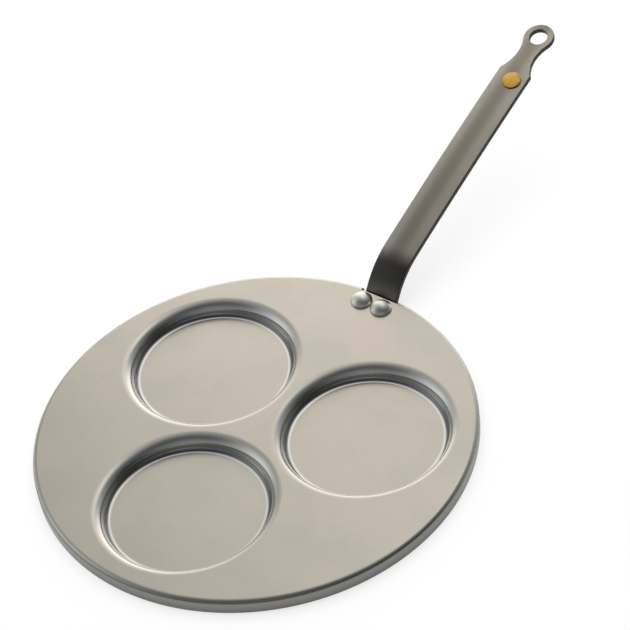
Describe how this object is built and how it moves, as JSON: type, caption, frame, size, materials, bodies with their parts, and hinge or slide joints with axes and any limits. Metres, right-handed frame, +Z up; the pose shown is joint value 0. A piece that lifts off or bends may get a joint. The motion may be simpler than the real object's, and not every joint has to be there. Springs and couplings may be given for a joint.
{
  "type": "blini pan",
  "caption": "Round pressed-steel blini pan with shallow wells in a flat plate, a turned-down rim and a riveted strip handle with a hang hole, for cooking small pancakes side by side.",
  "frame": {"origin": "centre of the plate's flat top face", "axes": "+X along the handle, away from the plate; +Z up, square to the top face"},
  "size_m": [0.4708, 0.27, 0.0853],
  "materials": {
    "plate_steel": "bare satin sheet steel",
    "handle_steel": "dark satin strip steel",
    "rivet_steel": "smooth satin steel",
    "button_resin": "smooth yellow-orange resin"
  },
  "bodies": {
    "root": {"pan_plate": "plate_steel", "handle": "handle_steel", "rivet_left": "rivet_steel", "rivet_right": "rivet_steel", "handle_button": "button_resin"}
  },
  "joints": []
}
